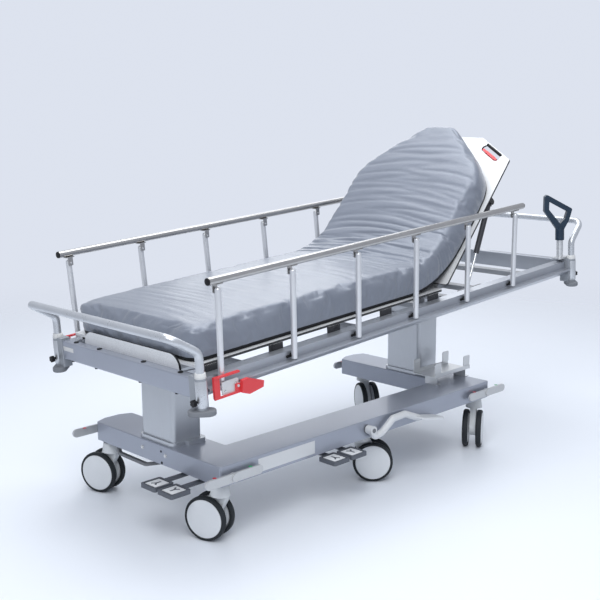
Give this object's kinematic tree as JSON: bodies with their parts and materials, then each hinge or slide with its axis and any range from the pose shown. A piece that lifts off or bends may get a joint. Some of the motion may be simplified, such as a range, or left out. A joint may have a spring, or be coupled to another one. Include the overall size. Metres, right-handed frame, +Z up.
{
  "type": "stretcher trolley",
  "caption": "Hospital stretcher trolley: castored C chassis, telescopic columns, tilting frame with mattress, raising backrest, folding side rails, push bars.",
  "frame": {"origin": "on the floor, in the middle of the whole object's footprint", "axes": "+X towards the head end, +Y towards the open side of the chassis, +Z up"},
  "size_m": [2.2816, 0.8628, 1.2775],
  "materials": {
    "frame_paint": "semi-gloss silver grey powder coat",
    "column_metal": "satin anodised",
    "profile_metal": "satin anodised",
    "post_metal": "satin silver",
    "rail_metal": "satin polished",
    "tube_metal": "bright polished",
    "brushed_sheet": "brushed stainless sheet",
    "dark_steel": "dark grey coated steel",
    "hidden_steel": "matt grey paint",
    "beam_metal": "satin silver",
    "head_panel": "light grey paint",
    "block_plastic": "fine-textured dark grey",
    "bumper_rubber": "matt dark grey",
    "knob_plastic": "matt black",
    "castor_housing": "smooth light grey",
    "wheel_body": "pale grey discs with dark tread",
    "brake_bar": "light grey paint",
    "pedal_plastic": "ribbed dark grey",
    "lever_white": "white paint",
    "board_laminate": "white laminate with thin black core",
    "mattress_fabric": "coated blue-grey cover with soft creases",
    "latch_red": "red moulded plastic",
    "latch_plate": "light grey plate",
    "grip_petrol": "dark petrol blue",
    "ribbed_shaft": "ribbed silver sleeve",
    "spring_black": "gloss black",
    "rod_chrome": "polished rod"
  },
  "bodies": {
    "chassis": {"base_frame": "frame_paint", "foot_column_tube": "column_metal", "head_column_tube": "column_metal", "lever_brackets": "dark_steel", "cylinder_cradle": "brushed_sheet"},
    "foot_brake": {"foot_brake_bars": "brake_bar"},
    "head_brake": {"head_brake_bars": "brake_bar"},
    "far_foot_swivel": {"far_foot_castor_fork": "castor_housing"},
    "far_foot_wheels": {"far_foot_castor_wheels": "wheel_body"},
    "near_foot_swivel": {"near_foot_castor_fork": "castor_housing"},
    "near_foot_wheels": {"near_foot_castor_wheels": "wheel_body"},
    "near_mid_swivel": {"near_mid_castor_fork": "castor_housing"},
    "near_mid_wheels": {"near_mid_castor_wheels": "wheel_body"},
    "near_head_swivel": {"near_head_castor_fork": "castor_housing"},
    "near_head_wheels": {"near_head_castor_wheels": "wheel_body"},
    "far_head_swivel": {"far_head_castor_fork": "castor_housing"},
    "far_head_wheels": {"far_head_castor_wheels": "wheel_body"},
    "foot_pedal_up": {"foot_pedal_up": "pedal_plastic"},
    "foot_pedal_down": {"foot_pedal_down": "pedal_plastic"},
    "side_pedal_up": {"side_pedal_up": "pedal_plastic"},
    "side_pedal_down": {"side_pedal_down": "pedal_plastic"},
    "steer_lever": {"steer_lever": "lever_white"},
    "foot_lift": {"foot_column_inner": "column_metal"},
    "head_lift": {"head_column_inner": "column_metal"},
    "head_tip": {"head_column_tip": "column_metal"},
    "lying_frame": {"side_profiles": "profile_metal", "foot_cross_beam": "beam_metal", "head_cross_beam": "head_panel", "corner_blocks": "block_plastic", "corner_bumpers": "bumper_rubber", "cross_members": "hidden_steel", "lying_board": "board_laminate", "clamp_knobs": "knob_plastic", "handle_socket": "ribbed_shaft", "latch_housings": "latch_plate", "mattress_seat": "mattress_fabric"},
    "foot_push_bar": {"foot_push_bar": "tube_metal"},
    "head_push_bar": {"head_push_bar": "tube_metal"},
    "handle_grip": {"handle_grip": "grip_petrol"},
    "near_post_1": {"near_post_1": "post_metal"},
    "near_post_2": {"near_post_2": "post_metal"},
    "near_post_3": {"near_post_3": "post_metal"},
    "near_post_4": {"near_post_4": "post_metal"},
    "near_post_5": {"near_post_5": "post_metal"},
    "near_post_6": {"near_post_6": "post_metal"},
    "near_rail": {"near_rail": "rail_metal"},
    "near_latch": {"near_latch_lever": "latch_red"},
    "far_post_1": {"far_post_1": "post_metal"},
    "far_post_2": {"far_post_2": "post_metal"},
    "far_post_3": {"far_post_3": "post_metal"},
    "far_post_4": {"far_post_4": "post_metal"},
    "far_post_5": {"far_post_5": "post_metal"},
    "far_post_6": {"far_post_6": "post_metal"},
    "far_rail": {"far_rail": "rail_metal"},
    "far_latch": {"far_latch_lever": "latch_red"},
    "backrest": {"backrest_board": "board_laminate", "mattress_back": "mattress_fabric"},
    "release_lever": {"release_lever": "latch_red"},
    "strut_cylinders": {"strut_cylinders": "spring_black"},
    "strut_rods": {"strut_rods": "rod_chrome"}
  },
  "joints": [
    {"name": "foot_brake_turn", "type": "hinge", "parent": "chassis", "child": "foot_brake", "pos_m": [-0.8692, 0, 0.226], "axis": [0, 1, 0], "range_deg": [-12, 12]},
    {"name": "head_brake_turn", "type": "hinge", "parent": "chassis", "child": "head_brake", "pos_m": [0.4928, 0, 0.226], "axis": [0, 1, 0], "range_deg": [-12, 12]},
    {"name": "far_foot_castor_swivel", "type": "hinge", "parent": "chassis", "child": "far_foot_swivel", "pos_m": [-0.8762, 0.305, 0.19], "axis": [0, 0, 1], "continuous": true},
    {"name": "far_foot_wheel_spin", "type": "hinge", "parent": "far_foot_swivel", "child": "far_foot_wheels", "pos_m": [-0.88974, 0.34476, 0.075], "axis": [0.9466, 0.3223, 0], "continuous": true},
    {"name": "near_foot_castor_swivel", "type": "hinge", "parent": "chassis", "child": "near_foot_swivel", "pos_m": [-0.8762, -0.305, 0.19], "axis": [0, 0, 1], "continuous": true},
    {"name": "near_foot_wheel_spin", "type": "hinge", "parent": "near_foot_swivel", "child": "near_foot_wheels", "pos_m": [-0.88974, -0.26524, 0.075], "axis": [0.9466, 0.3223, 0], "continuous": true},
    {"name": "near_mid_castor_swivel", "type": "hinge", "parent": "chassis", "child": "near_mid_swivel", "pos_m": [-0.1492, -0.258, 0.19], "axis": [0, 0, 1], "continuous": true},
    {"name": "near_mid_wheel_spin", "type": "hinge", "parent": "near_mid_swivel", "child": "near_mid_wheels", "pos_m": [-0.11966, -0.28785, 0.075], "axis": [-0.7108, -0.7034, 0], "continuous": true},
    {"name": "near_head_castor_swivel", "type": "hinge", "parent": "chassis", "child": "near_head_swivel", "pos_m": [0.4938, -0.305, 0.19], "axis": [0, 0, 1], "continuous": true},
    {"name": "near_head_wheel_spin", "type": "hinge", "parent": "near_head_swivel", "child": "near_head_wheels", "pos_m": [0.45791, -0.32682, 0.075], "axis": [-0.5195, 0.8545, 0], "continuous": true},
    {"name": "far_head_castor_swivel", "type": "hinge", "parent": "chassis", "child": "far_head_swivel", "pos_m": [0.4938, 0.305, 0.19], "axis": [0, 0, 1], "continuous": true},
    {"name": "far_head_wheel_spin", "type": "hinge", "parent": "far_head_swivel", "child": "far_head_wheels", "pos_m": [0.4728, 0.26863, 0.075], "axis": [-0.866, 0.5, 0], "continuous": true},
    {"name": "foot_pedal_up_press", "type": "hinge", "parent": "chassis", "child": "foot_pedal_up", "pos_m": [-0.8492, -0.181, 0.181], "axis": [0, -1, 0], "range_deg": [0, 10], "stiffness_Nm_per_rad": 12, "springref_deg": -6.88},
    {"name": "foot_pedal_down_press", "type": "hinge", "parent": "chassis", "child": "foot_pedal_down", "pos_m": [-0.8492, -0.181, 0.181], "axis": [0, -1, 0], "range_deg": [0, 10], "stiffness_Nm_per_rad": 12, "springref_deg": -6.88},
    {"name": "side_pedal_up_press", "type": "hinge", "parent": "chassis", "child": "side_pedal_up", "pos_m": [-0.3802, -0.232, 0.181], "axis": [1, 0, 0], "range_deg": [0, 10], "stiffness_Nm_per_rad": 12, "springref_deg": -6.88},
    {"name": "side_pedal_down_press", "type": "hinge", "parent": "chassis", "child": "side_pedal_down", "pos_m": [-0.3802, -0.232, 0.181], "axis": [1, 0, 0], "range_deg": [0, 10], "stiffness_Nm_per_rad": 12, "springref_deg": -6.88},
    {"name": "steer_lever_turn", "type": "hinge", "parent": "chassis", "child": "steer_lever", "pos_m": [-0.2212, -0.37, 0.232], "axis": [0, 1, 0], "range_deg": [-12, 12]},
    {"name": "foot_lift_slide", "type": "slide", "parent": "chassis", "child": "foot_lift", "axis": [0, 0, 1], "range_m": [0, 0.24]},
    {"name": "head_lift_slide", "type": "slide", "parent": "chassis", "child": "head_lift", "axis": [0, 0, 1], "range_m": [0, 0.24]},
    {"name": "frame_tilt", "type": "hinge", "parent": "foot_lift", "child": "lying_frame", "pos_m": [-0.8337, 0, 0.5612], "axis": [0, -1, 0], "range_deg": [-3.69, 7.3]},
    {"name": "head_tip_slide", "type": "slide", "parent": "head_lift", "child": "head_tip", "axis": [0, 0, 1], "range_m": [-0.085, 0.168]},
    {"name": "foot_push_bar_slide", "type": "slide", "parent": "lying_frame", "child": "foot_push_bar", "axis": [-0.0644, 0, 0.9979], "range_m": [0, 0.05]},
    {"name": "head_push_bar_slide", "type": "slide", "parent": "lying_frame", "child": "head_push_bar", "axis": [-0.0644, 0, 0.9979], "range_m": [0, 0.05]},
    {"name": "handle_grip_slide", "type": "slide", "parent": "lying_frame", "child": "handle_grip", "axis": [-0.0644, 0, 0.9979], "range_m": [0, 0.015], "stiffness_N_per_m": 400, "springref_m": -0.01},
    {"name": "near_post_1_fold", "type": "hinge", "parent": "lying_frame", "child": "near_post_1", "pos_m": [-0.93559, -0.39348, 0.56465], "axis": [0, 1, 0], "range_deg": [0, 82]},
    {"name": "near_post_2_fold", "type": "hinge", "parent": "lying_frame", "child": "near_post_2", "pos_m": [-0.62528, -0.39348, 0.58466], "axis": [0, 1, 0], "range_deg": [0, 82]},
    {"name": "near_post_3_fold", "type": "hinge", "parent": "lying_frame", "child": "near_post_3", "pos_m": [-0.31496, -0.39348, 0.60467], "axis": [0, 1, 0], "range_deg": [0, 82]},
    {"name": "near_post_4_fold", "type": "hinge", "parent": "lying_frame", "child": "near_post_4", "pos_m": [-0.00465, -0.39348, 0.62469], "axis": [0, 1, 0], "range_deg": [0, 82]},
    {"name": "near_post_5_fold", "type": "hinge", "parent": "lying_frame", "child": "near_post_5", "pos_m": [0.30567, -0.39348, 0.6447], "axis": [0, 1, 0], "range_deg": [0, 82]},
    {"name": "near_post_6_fold", "type": "hinge", "parent": "lying_frame", "child": "near_post_6", "pos_m": [0.61598, -0.39348, 0.66471], "axis": [0, 1, 0], "range_deg": [0, 82]},
    {"name": "near_rail_level", "type": "hinge", "parent": "near_post_1", "child": "near_rail", "pos_m": [-0.95355, -0.407, 0.84307], "axis": [0, 1, 0], "range_deg": [-82, 0]},
    {"name": "near_latch_turn", "type": "hinge", "parent": "lying_frame", "child": "near_latch", "pos_m": [-0.88809, -0.413, 0.53965], "axis": [0, 1, 0], "range_deg": [0, 10], "stiffness_Nm_per_rad": 3, "springref_deg": -6.88},
    {"name": "far_post_1_fold", "type": "hinge", "parent": "lying_frame", "child": "far_post_1", "pos_m": [-0.93559, 0.39348, 0.56465], "axis": [0, 1, 0], "range_deg": [0, 82]},
    {"name": "far_post_2_fold", "type": "hinge", "parent": "lying_frame", "child": "far_post_2", "pos_m": [-0.62528, 0.39348, 0.58466], "axis": [0, 1, 0], "range_deg": [0, 82]},
    {"name": "far_post_3_fold", "type": "hinge", "parent": "lying_frame", "child": "far_post_3", "pos_m": [-0.31496, 0.39348, 0.60467], "axis": [0, 1, 0], "range_deg": [0, 82]},
    {"name": "far_post_4_fold", "type": "hinge", "parent": "lying_frame", "child": "far_post_4", "pos_m": [-0.00465, 0.39348, 0.62469], "axis": [0, 1, 0], "range_deg": [0, 82]},
    {"name": "far_post_5_fold", "type": "hinge", "parent": "lying_frame", "child": "far_post_5", "pos_m": [0.30567, 0.39348, 0.6447], "axis": [0, 1, 0], "range_deg": [0, 82]},
    {"name": "far_post_6_fold", "type": "hinge", "parent": "lying_frame", "child": "far_post_6", "pos_m": [0.61598, 0.39348, 0.66471], "axis": [0, 1, 0], "range_deg": [0, 82]},
    {"name": "far_rail_level", "type": "hinge", "parent": "far_post_1", "child": "far_rail", "pos_m": [-0.95355, 0.407, 0.84307], "axis": [0, 1, 0], "range_deg": [-82, 0]},
    {"name": "far_latch_turn", "type": "hinge", "parent": "lying_frame", "child": "far_latch", "pos_m": [-0.88809, 0.413, 0.53965], "axis": [0, 1, 0], "range_deg": [0, 10], "stiffness_Nm_per_rad": 3, "springref_deg": -6.88},
    {"name": "backrest_raise", "type": "hinge", "parent": "lying_frame", "child": "backrest", "pos_m": [0.24112, 0, 0.68162], "axis": [0, -1, 0], "range_deg": [-45.6, 22]},
    {"name": "release_lever_slide", "type": "slide", "parent": "backrest", "child": "release_lever", "axis": [0.5609, -0.5103, 0.6519], "range_m": [0, 0.006], "stiffness_N_per_m": 900, "springref_m": -0.01},
    {"name": "strut_turn", "type": "hinge", "parent": "backrest", "child": "strut_cylinders", "pos_m": [0.55084, 0, 0.99558], "axis": [0, -1, 0], "range_deg": [-11.2, 5.5]},
    {"name": "strut_slide", "type": "slide", "parent": "strut_cylinders", "child": "strut_rods", "axis": [-0.3678, 0, -0.9299], "range_m": [-0.125, 0.062]}
  ],
  "couplings": [
    {"joint": "head_brake_turn", "follows": "foot_brake_turn", "ratio": 1},
    {"joint": "head_lift_slide", "follows": "foot_lift_slide", "ratio": 1},
    {"joint": "head_tip_slide", "follows": "frame_tilt", "m_per_rad": 1.2975},
    {"joint": "near_post_2_fold", "follows": "near_post_1_fold", "ratio": 1},
    {"joint": "near_post_3_fold", "follows": "near_post_1_fold", "ratio": 1},
    {"joint": "near_post_4_fold", "follows": "near_post_1_fold", "ratio": 1},
    {"joint": "near_post_5_fold", "follows": "near_post_1_fold", "ratio": 1},
    {"joint": "near_post_6_fold", "follows": "near_post_1_fold", "ratio": 1},
    {"joint": "near_rail_level", "follows": "near_post_1_fold", "ratio": -1},
    {"joint": "far_post_2_fold", "follows": "far_post_1_fold", "ratio": 1},
    {"joint": "far_post_3_fold", "follows": "far_post_1_fold", "ratio": 1},
    {"joint": "far_post_4_fold", "follows": "far_post_1_fold", "ratio": 1},
    {"joint": "far_post_5_fold", "follows": "far_post_1_fold", "ratio": 1},
    {"joint": "far_post_6_fold", "follows": "far_post_1_fold", "ratio": 1},
    {"joint": "far_rail_level", "follows": "far_post_1_fold", "ratio": -1},
    {"joint": "strut_turn", "follows": "backrest_raise", "ratio": 0.2435},
    {"joint": "strut_slide", "follows": "backrest_raise", "m_per_rad": 0.1505}
  ]
}
